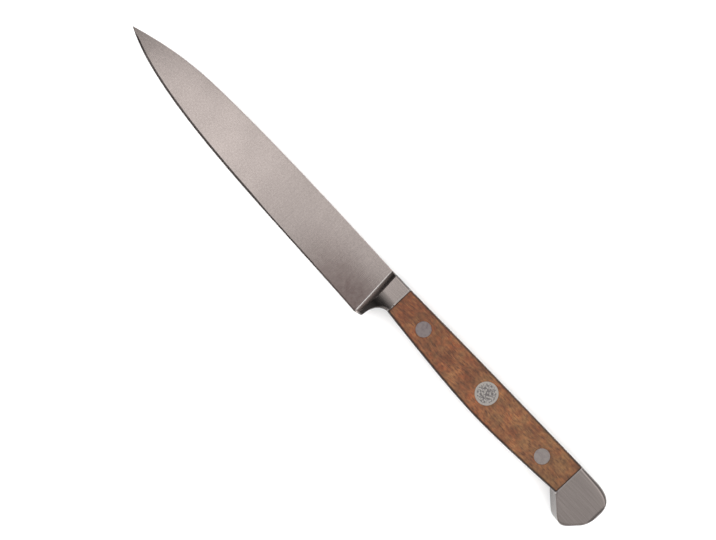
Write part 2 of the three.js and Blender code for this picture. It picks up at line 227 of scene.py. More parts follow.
def grip_half(x, depth):
    """Half thickness of bolster, handle and pommel: hollowed above the heel, rounded over at the butt."""
    scoop = smoothstep(depth, face_depth, scoop_depth) * smoothstep(-x, 0, scoop_length)
    over = max(x - (butt_x - butt_round), 0)
    turned_in = butt_round - math.sqrt(max(butt_round**2 - over**2, 0))
    return half_handle - (half_handle - scoop_thickness / 2) * scoop - turned_in


def behind_plunge(x, depth):
    """How far a point lies behind the leaning plunge line, as a share of the ramp's length."""
    return np.maximum(x - plunge_spine_x - plunge_lean * depth / heel_height, 0) / fillet_length


def half_thickness(x, depth):
    """Half thickness of the whole knife: blade, lip, ramp and bolster, with the ramp's crest rounded off."""
    behind = behind_plunge(x, depth)
    lip = lip_length / fillet_length
    climb = np.maximum(behind - lip, 0) / (1 - lip)
    ramp = blade_half(x, depth) + lip_rise * np.minimum(behind / lip, 1) + half_handle * climb**fillet_power
    side = grip_half(x, depth)
    share = np.clip(0.5 + (side - ramp) / (2 * fillet_crest), 0, 1)
    return side + (ramp - side) * share - fillet_crest * share * (1 - share)


def section(x, round_points=14, side_points=40):
    """Left half of the knife's section at x, from the spine down to the edge, as rows of y and z."""
    top = top_at(x)
    height = top - bottom_at(x)
    long_edge = edge_round + (butt_round - edge_round) * np.clip((x - scale_length) / pommel_length, 0, 1)
    top_round = min(long_edge, half_thickness(x, 0.0) / 4, height / 3)
    tight = smoothstep(x, scale_length, scale_length + beak_edge_run)
    tight *= 1 - smoothstep(x, beak_x - beak_reach / 2, beak_x + beak_reach / 2)
    lower_edge = long_edge + (beak_edge_round - long_edge) * tight
    bottom_round = min(lower_edge, half_thickness(x, height) / 2, height / 3)
    stout = min(behind_plunge(x, height), 1)
    bottom_end = bevel_at(x) * (1 - stout) + bottom_round * stout
    turn = np.linspace(0, np.pi / 2, round_points)
    share = np.linspace(0, 1, round_points)
    upper = top_round * (1 - np.cos(turn))
    side = np.linspace(top_round, height - bottom_end, side_points)[1:-1]
    lower = height - bottom_end * (1 - share * (1 - stout) - np.sin(turn) * stout)
    lower_half = half_thickness(x, lower)
    edge_half = min(edge_thickness / 2, blade_half(x, height))
    bevelled = lower_half + (edge_half - lower_half) * share
    belted = lower_half - bottom_round * (1 - np.cos(turn))
    depth = np.concatenate([upper, side, lower])
    out = np.concatenate([
        half_thickness(x, upper) - top_round * (1 - np.sin(turn)),
        half_thickness(x, side),
        bevelled * (1 - stout) + belted * stout,
    ])
    depth = np.concatenate([depth[:1], depth, depth[-1:]])
    out = np.concatenate([[min(half_tang, out[0] / 2)], out, [min(half_tang, out[-1] / 2)]])
    return np.column_stack([top - depth, out])


def ring(x, half):
    """Closed ring of points from the left half of a section and its mirror image on the right."""
    left = [(x, y, z) for y, z in half]
    right = [(x, y, -z) for y, z in half[::-1]]
    return left + right


weld_distance = 0.0005  # points closer than this are one


def skin(rings):
    """Closed mesh over rings of points, with both end rings capped and coinciding points merged."""
    size = len(rings[0])
    made = bmesh.new()
    points = [made.verts.new(point) for one in rings for point in one]
    for start in range(0, len(points) - size, size):
        for at in range(size):
            beside = (at + 1) % size
            made.faces.new([points[start + step] for step in (at, beside, size + beside, size + at)])
    made.faces.new(points[:size])
    made.faces.new(points[-size:])
    bmesh.ops.remove_doubles(made, verts=made.verts, dist=weld_distance)
    bmesh.ops.recalc_face_normals(made, faces=made.faces)
    mesh = bpy.data.meshes.new("skin")
    made.to_mesh(mesh)
    made.free()
    return mesh


def into_scene(made):
    """Links an object to the scene."""
    bpy.context.scene.collection.objects.link(made)


bore_sides = 72


def drilled(mesh, holes):
    """The mesh with round holes along z, each given as x, y, radius, lowest z and highest z."""
    drill = bmesh.new()
    for x, y, radius, bottom, top in holes:
        middle = Matrix.Translation((x, y, (bottom + top) / 2))
        bmesh.ops.create_cone(drill, cap_ends=True, segments=bore_sides, radius1=radius, radius2=radius,
                              depth=top - bottom, matrix=middle)
    body = bpy.data.objects.new("body", mesh)
    tool = bpy.data.objects.new("tool", bpy.data.meshes.new("tool"))
    drill.to_mesh(tool.data)
    drill.free()
    into_scene(body)
    into_scene(tool)
    bore = body.modifiers.new("bore", "BOOLEAN")
    bore.operation = "DIFFERENCE"
    bore.solver = "EXACT"
    bore.object = tool
    made = bpy.data.meshes.new_from_object(body.evaluated_get(bpy.context.evaluated_depsgraph_get()))
    bpy.data.objects.remove(body)
    bpy.data.objects.remove(tool)
    return made


crisp_angle = math.radians(25)  # past which an edge isn't shaded smooth


def piece(name, mesh, material, node):
    """A finished piece in its place, standing for its CAD node and riding on the knife's one body."""
    mesh.transform(drawing_to_frame)
    mesh.polygons.foreach_set("use_smooth", np.ones(len(mesh.polygons), bool))
    mesh.set_sharp_from_angle(angle=crisp_angle)
    mesh.materials.clear()
    mesh.materials.append(material)
    made = bpy.data.objects.new(name, mesh)
    into_scene(made)
    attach(made, "root")
    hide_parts(node)
    return made


def linear(colour):
    """An sRGB hex colour as linear red, green, blue and alpha."""
    parts = [int(colour[at:at + 2], 16) / 255 for at in (0, 2, 4)]
    return (*[part / 12.92 if part <= 0.04045 else ((part + 0.055) / 1.055) ** 2.4 for part in parts], 1.0)


def connect(tree, node, inputs):
    """Sets each named or numbered input to a value, or links it to a socket or a node's first output."""
    for name, value in inputs.items():
        entry = next(s for at, s in enumerate(node.inputs) if s.enabled and name in (at, s.name))
        if isinstance(value, bpy.types.Node):
            value = next(s for s in value.outputs if s.enabled)
        if isinstance(value, bpy.types.NodeSocket):
            tree.links.new(value, entry)
        else:
            entry.default_value = value


def add_node(tree, kind, inputs=None, **settings):
    """Adds a node with its settings and connects its inputs."""
    made = tree.nodes.new(kind)
    for name, value in settings.items():
        setattr(made, name, value)
    connect(tree, made, inputs or {})
    return made


def drawn_material(name):
    """A new material, its nodes, and the drawing's millimetres there as a point and as x, y and z."""
    made = bpy.data.materials.new(name)
    made.use_nodes = True
    tree = made.node_tree
    metres = add_node(tree, "ShaderNodeTexCoord").outputs["Object"]
    scaled = add_node(tree, "ShaderNodeVectorMath", {0: metres, "Scale": mm_per_metre}, operation="SCALE")
    drawn = add_node(tree, "ShaderNodeVectorMath", {0: scaled, 1: drawing_origin}, operation="SUBTRACT")
    return made, tree, drawn, add_node(tree, "ShaderNodeSeparateXYZ", {"Vector": drawn}).outputs


# Satin-ground stainless steel: a warm grey metal whose fine scratches blur what it mirrors into soft bands.
# Wheel marks run across the blade, belt marks along bolster and pommel, with a fine grit and broad smudges.
# Real marks are about 0.05 mm wide, and are drawn 0.4 mm wide so that they show.
mark_width, mark_length = 0.4, 9.0
grit_size, smudge_size = 0.6, 22.0
noise_range = {"From Min": 0.3, "From Max": 0.7}  # in which most of a noise pattern lies
uneven_range = {"From Min": 0.6, "From Max": 1.4}  # the same for two patterns added up
satin_steel, tree, drawn, place = drawn_material("satin_ground_stainless_steel")
across = add_node(tree, "ShaderNodeMapping", {
    "Vector": drawn, "Scale": (1 / mark_width, 1 / mark_length, 1 / mark_length),
})
along = add_node(tree, "ShaderNodeMapping", {
    "Vector": drawn, "Scale": (1 / mark_length, 1 / mark_width, 1 / mark_width),
})
wheel_marks = add_node(tree, "ShaderNodeTexNoise", {"Vector": across, "Scale": 1.0, "Detail": 3.0})
belt_marks = add_node(tree, "ShaderNodeTexNoise", {"Vector": along, "Scale": 1.0, "Detail": 3.0})
grit = add_node(tree, "ShaderNodeTexNoise", {"Vector": drawn, "Scale": 1 / grit_size, "Detail": 2.0})
smudges = add_node(tree, "ShaderNodeTexNoise", {"Vector": drawn, "Scale": 1 / smudge_size, "Detail": 2.0})

# Blade and bolster part at the leaning plunge line
plunge_blend = 0.2
leaning_x = add_node(tree, "ShaderNodeMath", {
    0: place["Y"], 1: plunge_lean / heel_height, 2: place["X"],
}, operation="MULTIPLY_ADD")
on_handle = add_node(tree, "ShaderNodeMapRange", {
    "Value": leaning_x, "From Min": plunge_spine_x, "From Max": plunge_spine_x + plunge_blend,
})
steel_marks = add_node(tree, "ShaderNodeMix", {"Factor": on_handle, "A": wheel_marks, "B": belt_marks})

# The blade's corner by the heel is darker and duller in small blotches
haze_start, haze_full = -48.0, -12.0
haze_top, haze_bottom = -2.0, -16.0
blotch_size, blotch_thin, blotch_thick = 1.6, 0.7, 1.1
near_heel = add_node(tree, "ShaderNodeMapRange", {
    "Value": place["X"], "From Min": haze_start, "From Max": haze_full,
}, interpolation_type="SMOOTHSTEP")
low_down = add_node(tree, "ShaderNodeMapRange", {
    "Value": place["Y"], "From Min": haze_top, "From Max": haze_bottom,
}, interpolation_type="SMOOTHSTEP")
heel_corner = add_node(tree, "ShaderNodeMath", {0: near_heel, 1: low_down}, operation="MULTIPLY")
blotches = add_node(tree, "ShaderNodeTexNoise", {
    "Vector": drawn, "Scale": 1 / blotch_size, "Detail": 3.0, "Roughness": 0.65,
})
blotchy = add_node(tree, "ShaderNodeMapRange", {
    "Value": blotches, **noise_range, "To Min": blotch_thin, "To Max": blotch_thick,
})
blotched = add_node(tree, "ShaderNodeMath", {0: heel_corner, 1: blotchy}, operation="MULTIPLY")
blade_haze = add_node(tree, "ShaderNodeMix", {"Factor": on_handle, "A": blotched, "B": 0.0})

# A painted highlight lightens the lip along the plunge line, most by the heel, and the steel's last strips
# by the wood
lip_shine_top, lip_shine_heel, lip_shine_depth = 0.3, 1.0, -12.0
strip_width, strip_shine = 0.5, 0.3
on_lip = add_node(tree, "ShaderNodeMath", {
    0: leaning_x, 1: plunge_spine_x + lip_length / 2, 2: lip_length / 2,
}, operation="COMPARE")
lip_fade = add_node(tree, "ShaderNodeMapRange", {
    "Value": place["Y"], "From Min": 0.0, "From Max": lip_shine_depth,
    "To Min": lip_shine_top, "To Max": lip_shine_heel,
})
lip_shine = add_node(tree, "ShaderNodeMath", {0: on_lip, 1: lip_fade}, operation="MULTIPLY")
front_strip = add_node(tree, "ShaderNodeMath", {0: place["X"], 1: 0.0, 2: strip_width}, operation="COMPARE")
rear_strip = add_node(tree, "ShaderNodeMath", {
    0: place["X"], 1: scale_length, 2: strip_width,
}, operation="COMPARE")
strips = add_node(tree, "ShaderNodeMath", {0: front_strip, 1: rear_strip}, operation="ADD")
# painted highlight on the lip and on the strips beside the wood
painted_highlight = add_node(tree, "ShaderNodeMath", {
    0: strips, 1: strip_shine, 2: lip_shine,
}, operation="MULTIPLY_ADD")

# Ramp, hollow and the walls of bolster and pommel are painted darker, as shade for the dim room they mirror:
# the ramp towards the spine, the foot of the bolster's face most, and all walls about alike
ramp_shade, ramp_bottom = 0.25, -14.0
foot_front, foot_rear, foot_shade = -7.6, -6.6, 0.14
hollow_front, hollow_rear = -6.0, -0.5
top_edge, top_inside = -0.1, -0.5  # between the bolster's top and its hollow
wall_shade = 0.42
on_ramp = add_node(tree, "ShaderNodeMapRange", {
    "Value": place["Y"], "From Min": 0.0, "From Max": ramp_bottom, "To Min": ramp_shade, "To Max": 1.0,
})
on_foot = add_node(tree, "ShaderNodeMapRange", {
    "Value": place["X"], "From Min": foot_front, "From Max": foot_rear,
    "To Min": on_ramp, "To Max": foot_shade,
})
in_hollow = add_node(tree, "ShaderNodeMapRange", {
    "Value": place["X"], "From Min": hollow_front, "From Max": hollow_rear,
    "To Min": on_foot, "To Max": wall_shade,
})
on_wall = add_node(tree, "ShaderNodeMapRange", {
    "Value": place["Y"], "From Min": top_edge, "From Max": top_inside,
    "To Min": wall_shade, "To Max": in_hollow,
})

# The rims round the flat sides are painted darkest, as shade for the dim room they mirror.
# They are wide round the bolster's hollow and narrow elsewhere.
rim_wide, rim_middling, rim_narrow = 1.3, 0.5, 0.22  # below the flat sides, as are the depths
rim_wide_top, rim_wide_bottom = -2.0, -4.0
bolster_rim_end = -0.6
bolster_rim_shade, handle_rim_shade = 0.1, 0.25
wall_depth, rim_depth, side_depth = 4.4, 1.8, 0.02
off_middle = add_node(tree, "ShaderNodeMath", {0: place["Z"]}, operation="ABSOLUTE")
bolster_rim = add_node(tree, "ShaderNodeMapRange", {
    "Value": place["Y"], "From Min": rim_wide_top, "From Max": rim_wide_bottom,
    "To Min": half_handle - rim_middling, "To Max": half_handle - rim_wide,
})
rim_start = add_node(tree, "ShaderNodeMapRange", {
    "Value": place["X"], "From Min": bolster_rim_end, "From Max": 0.0,
    "To Min": bolster_rim, "To Max": half_handle - rim_narrow,
})
rim_shade = add_node(tree, "ShaderNodeMapRange", {
    "Value": place["X"], "From Min": bolster_rim_end, "From Max": 0.0,
    "To Min": bolster_rim_shade, "To Max": handle_rim_shade,
})
below_rim = add_node(tree, "ShaderNodeMapRange", {
    "Value": off_middle, "From Min": half_handle - wall_depth, "From Max": half_handle - rim_depth,
    "To Min": on_wall, "To Max": rim_shade,
})
above_rim = add_node(tree, "ShaderNodeMapRange", {
    "Value": off_middle, "From Min": rim_start, "From Max": half_handle - side_depth,
    "To Min": rim_shade, "To Max": 1.0,
})
# painted shade of walls, ramp and hollow, darkest on the rims and full level on the flat sides
belted = add_node(tree, "ShaderNodeMath", {0: below_rim, 1: above_rim}, operation="MAXIMUM")
painted_shade_level = add_node(tree, "ShaderNodeMix", {"Factor": on_handle, "A": 1.0, "B": belted})

# The pommel's walls glance less than its flat sides
glance_depth, glance_edge, wall_glance = 2.6, 0.1, 0.72
pommel_glance = add_node(tree, "ShaderNodeMapRange", {
    "Value": off_middle, "From Min": half_handle - glance_depth, "From Max": half_handle - glance_edge,
    "To Min": wall_glance, "To Max": 1.0,
})
on_pommel = add_node(tree, "ShaderNodeMath", {0: place["X"], 1: scale_length}, operation="GREATER_THAN")
glance = add_node(tree, "ShaderNodeMix", {"Factor": on_pommel, "A": 1.0, "B": pommel_glance})

# Colour, gloss and scratches come from all of these
grit_dark, grit_pale = 0.92, 1.08
gloss_most, gloss_least, haze_dulling = 0.18, 0.28, 0.12
scratch_depth = 0.04 / mm_per_metre
satin = add_node(tree, "ShaderNodeMix", {
    "Factor": steel_marks, "A": linear("b3a8a4"), "B": linear("d6c9c3"),
}, data_type="RGBA")
blade_grit = add_node(tree, "ShaderNodeMapRange", {
    "Value": grit, **noise_range, "To Min": grit_dark, "To Max": grit_pale,
})
grit_level = add_node(tree, "ShaderNodeMix", {"Factor": on_handle, "A": blade_grit, "B": 1.0})
steel_level = add_node(tree, "ShaderNodeMath", {0: grit_level, 1: painted_shade_level}, operation="MULTIPLY")
levelled = add_node(tree, "ShaderNodeVectorMath", {0: satin, "Scale": steel_level}, operation="SCALE")
hazy = add_node(tree, "ShaderNodeMix", {
    "Factor": blade_haze, "A": levelled, "B": linear("cfc4c4"),
}, data_type="RGBA", blend_type="MULTIPLY")
steel_colour = add_node(tree, "ShaderNodeMix", {
    "Factor": painted_highlight, "A": hazy, "B": linear("e8e2df"),
}, data_type="RGBA")
uneven = add_node(tree, "ShaderNodeMath", {0: steel_marks, 1: smudges}, operation="ADD")
steel_gloss = add_node(tree, "ShaderNodeMapRange", {
    "Value": uneven, **uneven_range, "To Min": gloss_most, "To Max": gloss_least,
})
duller = add_node(tree, "ShaderNodeMath", {
    0: blade_haze, 1: haze_dulling, 2: steel_gloss,
}, operation="MULTIPLY_ADD")
scratches = add_node(tree, "ShaderNodeBump", {
    "Height": steel_marks, "Strength": 0.12, "Distance": scratch_depth,
})
connect(tree, tree.nodes["Principled BSDF"], {
    "Metallic": 1.0, "Base Color": steel_colour, "Specular Tint": glance,
    "Roughness": duller, "Normal": scratches,
})

# Rings of points from tip to butt. Between bolster and pommel only the tang is left of the section.
blade_steps, ramp_steps, choil_steps, tang_steps, pommel_steps = 140, 60, 36, 45, 70
tip_crowding = 1.5  # power by which the blade's rings draw together towards the tip
blade_shares = np.linspace(0, 1, blade_steps, endpoint=False) ** tip_crowding
blade_places = tip_x + (plunge_spine_x - tip_x) * blade_shares
ramp_places = np.linspace(plunge_spine_x, -choil_length, ramp_steps, endpoint=False)
choil_places = -choil_length * np.cos(np.linspace(0, np.pi / 2, choil_steps))
tang_places = np.linspace(0, scale_length, tang_steps)
pommel_places = scale_length + pommel_length * np.sin(np.linspace(0, np.pi / 2, pommel_steps))
forging_rings = [ring(x, section(x)) for x in np.concatenate([blade_places, ramp_places, choil_places])]
forging_rings += [ring(x, np.minimum(section(x), (np.inf, half_tang))) for x in tang_places]
forging_rings += [ring(x, section(x)) for x in pommel_places]

# Two small rivets and a large one go through tang and scales. Head, tube and pin are diameters.
Rivet = namedtuple("Rivet", "x y head tube pin head_thickness")
rivet_fit = 0.1
rear_inset, middle_shift = 12.7, 1.1
small = {"head": 5.8, "tube": 4.0, "pin": 2.4, "head_thickness": 1.6}
large = {"head": 8.6, "tube": 5.6, "pin": 3.4, "head_thickness": 1.8}
front_rivet = Rivet(x=13.4, y=-6.4, **small)
rear_rivet = Rivet(x=scale_length - rear_inset, y=-6.5, **small)
middle_rivet = Rivet(x=(front_rivet.x + rear_rivet.x) / 2 + middle_shift, y=-5.6, **large)
rivets = {"front": front_rivet, "middle": middle_rivet, "rear": rear_rivet}

tang_bores = [
    (rivet.x, rivet.y, rivet.tube / 2 + rivet_fit, -tang_thickness, tang_thickness)
    for rivet in rivets.values()
]
bored_forging = drilled(skin(forging_rings), tang_bores)
forging = piece("satin_forging", bored_forging, satin_steel, "blade_forging")

# The line where the cutting bevel begins stays crisp
bevel_tolerance = 0.004
points = np.empty(len(forging.data.vertices) * 3, np.float32)
forging.data.vertices.foreach_get("co", points)
points = points.reshape(-1, 3) * mm_per_metre - drawing_origin
along_knife = points[:, 0]
above_edge = points[:, 1] - bottom_at(along_knife)
on_bevel = (np.abs(above_edge - bevel_at(along_knife)) < bevel_tolerance) & (along_knife < plunge_edge_x)
edge_ends = np.empty(len(forging.data.edges) * 2, np.int32)
forging.data.edges.foreach_get("vertices", edge_ends)
crisp = np.empty(len(forging.data.edges), bool)
forging.data.attributes["sharp_edge"].data.foreach_get("value", crisp)
crisp |= on_bevel[edge_ends.reshape(-1, 2)].all(axis=1)
forging.data.attributes["sharp_edge"].data.foreach_set("value", crisp)

# HANDLE SCALES. Two slabs of oiled walnut, sawn and then belted to the outline together with the steel.
# They are glued to the tang's sides and clamped by the rivets, with their long edges rounded over.
bond_line = 0.1  # glue film between a scale and the steel
end_ease = 0.12  # ends broken with sandpaper
head_fit = 0.03  # room round a rivet's head

# Oiled walnut: brown, redder by the bolster and more olive by the pommel, with dark bands, mottled figure,
# fine pale fibres and short dark pores along the handle. Oil leaves a dull sheen. Real fibres and pores are
# up to 0.15 mm wide, and are drawn 0.4 and 0.5 mm wide so that they show.
wave_length, wave_reach = 20.0, 3.5
cast_size, cloud_size = 5.0, 7.0
wood_patterns = {  # length along the handle, width, depth, and number of finer layers
    "bands": (8.0, 2.6, 4.0, 3.0),
    "mottle": (1.6, 0.9, 0.9, 3.0),
    "fibres": (5.0, 0.4, 0.4, 2.0),
    "pores": (2.4, 0.5, 0.5, 2.0),
}
walnut, tree, drawn, place = drawn_material("oiled_walnut")
bend = add_node(tree, "ShaderNodeTexNoise", {"Vector": drawn, "Scale": 1 / wave_length, "Detail": 1.0})
shift = add_node(tree, "ShaderNodeVectorMath", {
    0: bend.outputs["Color"], 1: (0.0, wave_reach, wave_reach),
}, operation="MULTIPLY")
wavy = add_node(tree, "ShaderNodeVectorMath", {0: drawn, 1: shift}, operation="ADD")
noise = {}
for name, (length, width, depth, layers) in wood_patterns.items():
    stretched = add_node(tree, "ShaderNodeMapping", {
        "Vector": wavy, "Scale": (1 / length, 1 / width, 1 / depth),
    })
    noise[name] = add_node(tree, "ShaderNodeTexNoise", {"Vector": stretched, "Scale": 1.0, "Detail": layers})
cast = add_node(tree, "ShaderNodeTexNoise", {
    "Vector": wavy, "Scale": 1 / cast_size, "Detail": 4.0, "Roughness": 0.7,
})
clouds = add_node(tree, "ShaderNodeTexNoise", {"Vector": wavy, "Scale": 1 / cloud_size, "Detail": 2.0})

# Each pattern tints the wood in turn, from the red or olive heart to the pores
cast_low, cast_high = 0.35, 0.65
least_olive, most_olive, olive_by_pommel = -0.4, 0.6, 0.7
tints = {  # noise where the tint starts and where it is full, its greatest share, and its colour
    "bands": (0.4, 0.66, 0.5, "4b2a18"),
    "fibres": (0.45, 0.75, 0.45, "8a5d33"),
    "pores": (0.56, 0.7, 0.6, "341e14"),
}
patchy = add_node(tree, "ShaderNodeMapRange", {
    "Value": cast, "From Min": cast_low, "From Max": cast_high, "To Min": least_olive, "To Max": most_olive,
})
olive = add_node(tree, "ShaderNodeMath", {
    0: place["X"], 1: olive_by_pommel / scale_length, 2: patchy,
}, operation="MULTIPLY_ADD", use_clamp=True)
heart = add_node(tree, "ShaderNodeMix", {
    "Factor": olive, "A": linear("723813"), "B": linear("724d29"),
}, data_type="RGBA")
tinted = heart
tint_shares = {}
for name, (start, full, greatest, colour) in tints.items():
    tint_shares[name] = add_node(tree, "ShaderNodeMapRange", {
        "Value": noise[name], "From Min": start, "From Max": full, "To Max": greatest,
    })
    tinted = add_node(tree, "ShaderNodeMix", {
        "Factor": tint_shares[name], "A": tinted, "B": linear(colour),
    }, data_type="RGBA")

# The rounded long edges and walls are painted darker, as shade where they turn from the light, the lower
# ones most;
# the ends are darker and the joints dark too
under_top, under_bottom = -3.0, -9.0
upper_edge_shade, lower_edge_shade = 0.3, 0.1
edge_start, edge_end = 0.16, 0.01
wood_wall_depth, wood_edge_depth, wood_wall_shade = 3.0, 0.7, 0.85
grip_middle, grip_far, grip_far_shade = 16.0, 40.0, 0.84
joint_reach, joint_line, joint_shade = 0.6, 0.2, 0.35
half_scale = scale_length / 2
off_middle = add_node(tree, "ShaderNodeMath", {0: place["Z"]}, operation="ABSOLUTE")
edge_shade = add_node(tree, "ShaderNodeMapRange", {
    "Value": place["Y"], "From Min": under_top, "From Max": under_bottom,
    "To Min": upper_edge_shade, "To Max": lower_edge_shade,
})
painted_edge_shade = add_node(tree, "ShaderNodeMapRange", {
    "Value": off_middle, "From Min": half_handle - edge_start, "From Max": half_handle - edge_end,
    "To Min": edge_shade, "To Max": 1.0,
})
painted_wall_shade = add_node(tree, "ShaderNodeMapRange", {
    "Value": off_middle,
    "From Min": half_handle - wood_wall_depth, "From Max": half_handle - wood_edge_depth,
    "To Min": wood_wall_shade, "To Max": edge_shade,
})
# painted shade on the wood's edges and walls
painted_wood_shade = add_node(tree, "ShaderNodeMath", {0: painted_edge_shade, 1: painted_wall_shade}, operation="MAXIMUM")
from_half_way = add_node(tree, "ShaderNodeMath", {0: place["X"], 1: half_scale}, operation="SUBTRACT")
towards_end = add_node(tree, "ShaderNodeMath", {0: from_half_way}, operation="ABSOLUTE")
gripped = add_node(tree, "ShaderNodeMapRange", {
    "Value": towards_end, "From Min": grip_middle, "From Max": grip_far,
    "To Min": 1.0, "To Max": grip_far_shade,
})
jointed = add_node(tree, "ShaderNodeMapRange", {
    "Value": towards_end, "From Min": half_scale - joint_reach, "From Max": half_scale - joint_line,
    "To Min": 1.0, "To Max": joint_shade,
})

# Colour, sheen and grain come from all of these
mottle_dark, mottle_pale = 0.64, 1.36
cloud_dark, cloud_pale = 0.8, 1.2
sheen_most, sheen_least = 0.46, 0.6
grain_depth = 0.06 / mm_per_metre
figured = add_node(tree, "ShaderNodeMapRange", {
    "Value": noise["mottle"], **noise_range, "To Min": mottle_dark, "To Max": mottle_pale,
})
cloudy = add_node(tree, "ShaderNodeMapRange", {
    "Value": clouds, **noise_range, "To Min": cloud_dark, "To Max": cloud_pale,
})
wood_level = figured
for shade in (painted_wood_shade, gripped, jointed, cloudy):
    wood_level = add_node(tree, "ShaderNodeMath", {0: wood_level, 1: shade}, operation="MULTIPLY")
wood_colour = add_node(tree, "ShaderNodeVectorMath", {0: tinted, "Scale": wood_level}, operation="SCALE")
sheen = add_node(tree, "ShaderNodeMapRange", {
    "Value": noise["fibres"], **noise_range, "To Min": sheen_most, "To Max": sheen_least,
})
relief = add_node(tree, "ShaderNodeMath", {
    0: noise["fibres"], 1: tint_shares["pores"],
}, operation="SUBTRACT")
grain = add_node(tree, "ShaderNodeBump", {"Height": relief, "Strength": 0.25, "Distance": grain_depth})
connect(tree, tree.nodes["Principled BSDF"], {
    "IOR": 1.5, "Base Color": wood_colour, "Roughness": sheen, "Normal": grain,
})


def scale_ring(x, side, ease):
    """Ring of points round a scale's section at x, drawn in by `ease` where its end is broken."""
    half = section(x, side_points=16)
    lead = np.gradient(half, axis=0)
    to_middle = -np.sign(half[:, 0] - half[:, 0].mean())
    inward = np.column_stack([np.abs(lead[:, 1]) * to_middle, -np.abs(lead[:, 0])])
    half = half + ease * inward / np.linalg.norm(inward, axis=1)[:, None]
    half[:, 1] = np.maximum(half[:, 1], half_tang + bond_line)
    half[[0, -1], 1] = half_tang + bond_line
    return [(x, y, side * z) for y, z in half]


scale_steps = 70
scale_front = bond_line
scale_rear = scale_length - bond_line
scale_places = np.linspace(scale_front + end_ease, scale_rear - end_ease, scale_steps)
for name, side, node in (("left_walnut_scale", 1, "left_scale"), ("right_walnut_scale", -1, "right_scale")):
    scale_rings = [scale_ring(scale_front, side, end_ease)]
    scale_rings += [scale_ring(x, side, 0.0) for x in scale_places]
    scale_rings += [scale_ring(scale_rear, side, end_ease)]
    shafts = []
    sinks = []
    for rivet in rivets.values():
        shafts.append((rivet.x, rivet.y, rivet.tube / 2 + rivet_fit, -handle_thickness, handle_thickness))
        sink = sorted((side * (half_handle - rivet.head_thickness - rivet_fit), side * handle_thickness))
        sinks.append((rivet.x, rivet.y, rivet.head / 2 + head_fit, *sink))
    piece(name, drilled(drilled(skin(scale_rings), shafts), sinks), walnut, node)

# RIVETS. Three compression rivets of stainless steel, each a tube half and a pin half pressed together.
# Their heads sit in counterbores and are belted flush with the wood. The large middle head is stamped
# with a plain rim and a stippled field.
rivet_end_room = 0.5  # between a half's end and the other half's head
edge_break = 0.04
field_diameter, field_depth = 7.2, 0.14
stipple_size, stipple_height, stipple_seed = 0.65, 0.08, 3.0
plain_sides = 72
stamped_sides, field_rings = 144, 24

# Belted stainless steel: duller than the blade, with marks along the handle and a tarnish of fine specks,
# heaviest at the front, under the forefinger. The middle head is cleaner, and darker between its pellets.
# Real marks are about 0.05 mm wide, and are drawn 0.3 mm wide so that they show.
rivet_mark_width, rivet_mark_length = 0.3, 5.0
speck_size, speck_start, speck_full, speck_share = 1.4, 0.45, 0.75, 0.4
finger_tarnish = 0.5
rivet_gloss_most, rivet_gloss_least = 0.3, 0.42
rivet_scratch_depth = 0.03 / mm_per_metre
rivet_steel, tree, drawn, place = drawn_material("belted_rivet_steel")
along = add_node(tree, "ShaderNodeMapping", {
    "Vector": drawn, "Scale": (1 / rivet_mark_length, 1 / rivet_mark_width, 1 / rivet_mark_width),
})
rivet_marks = add_node(tree, "ShaderNodeTexNoise", {"Vector": along, "Scale": 1.0, "Detail": 3.0})
tarnish = add_node(tree, "ShaderNodeTexNoise", {"Vector": drawn, "Scale": 1 / speck_size, "Detail": 3.0})
tone = add_node(tree, "ShaderNodeMix", {
    "Factor": rivet_marks, "A": linear("c4b8b4"), "B": linear("ddd2cd"),
}, data_type="RGBA")
specks = add_node(tree, "ShaderNodeMapRange", {
    "Value": tarnish, "From Min": speck_start, "From Max": speck_full, "To Max": speck_share,
})
touched = add_node(tree, "ShaderNodeMapRange", {
    "Value": place["X"], "From Min": front_rivet.x, "From Max": middle_rivet.x,
    "To Min": finger_tarnish, "To Max": 0.0,
})
tarnished = add_node(tree, "ShaderNodeMath", {0: specks, 1: touched}, operation="ADD", use_clamp=True)
plain_colour = add_node(tree, "ShaderNodeMix", {
    "Factor": tarnished, "A": tone, "B": linear("928286"),
}, data_type="RGBA")
level_place = add_node(tree, "ShaderNodeCombineXYZ", {"X": place["X"], "Y": place["Y"]})
off_axis = add_node(tree, "ShaderNodeVectorMath", {
    0: level_place, 1: (middle_rivet.x, middle_rivet.y, 0.0),
}, operation="DISTANCE")
on_middle = add_node(tree, "ShaderNodeMath", {0: off_axis, 1: middle_rivet.head / 2}, operation="LESS_THAN")
stamped_colour = add_node(tree, "ShaderNodeMix", {
    "Factor": on_middle, "A": plain_colour, "B": linear("eae3dc"),
}, data_type="RGBA")
recess = add_node(tree, "ShaderNodeAttribute", attribute_name="recess")
rivet_colour = add_node(tree, "ShaderNodeMix", {
    "Factor": recess.outputs["Fac"], "A": stamped_colour, "B": linear("a39c9c"),
}, data_type="RGBA")
rivet_gloss = add_node(tree, "ShaderNodeMapRange", {
    "Value": rivet_marks, **noise_range, "To Min": rivet_gloss_most, "To Max": rivet_gloss_least,
})
scratches = add_node(tree, "ShaderNodeBump", {
    "Height": rivet_marks, "Strength": 0.12, "Distance": rivet_scratch_depth,
})
connect(tree, tree.nodes["Principled BSDF"], {
    "Metallic": 1.0, "Base Color": rivet_colour, "Roughness": rivet_gloss, "Normal": scratches,
})

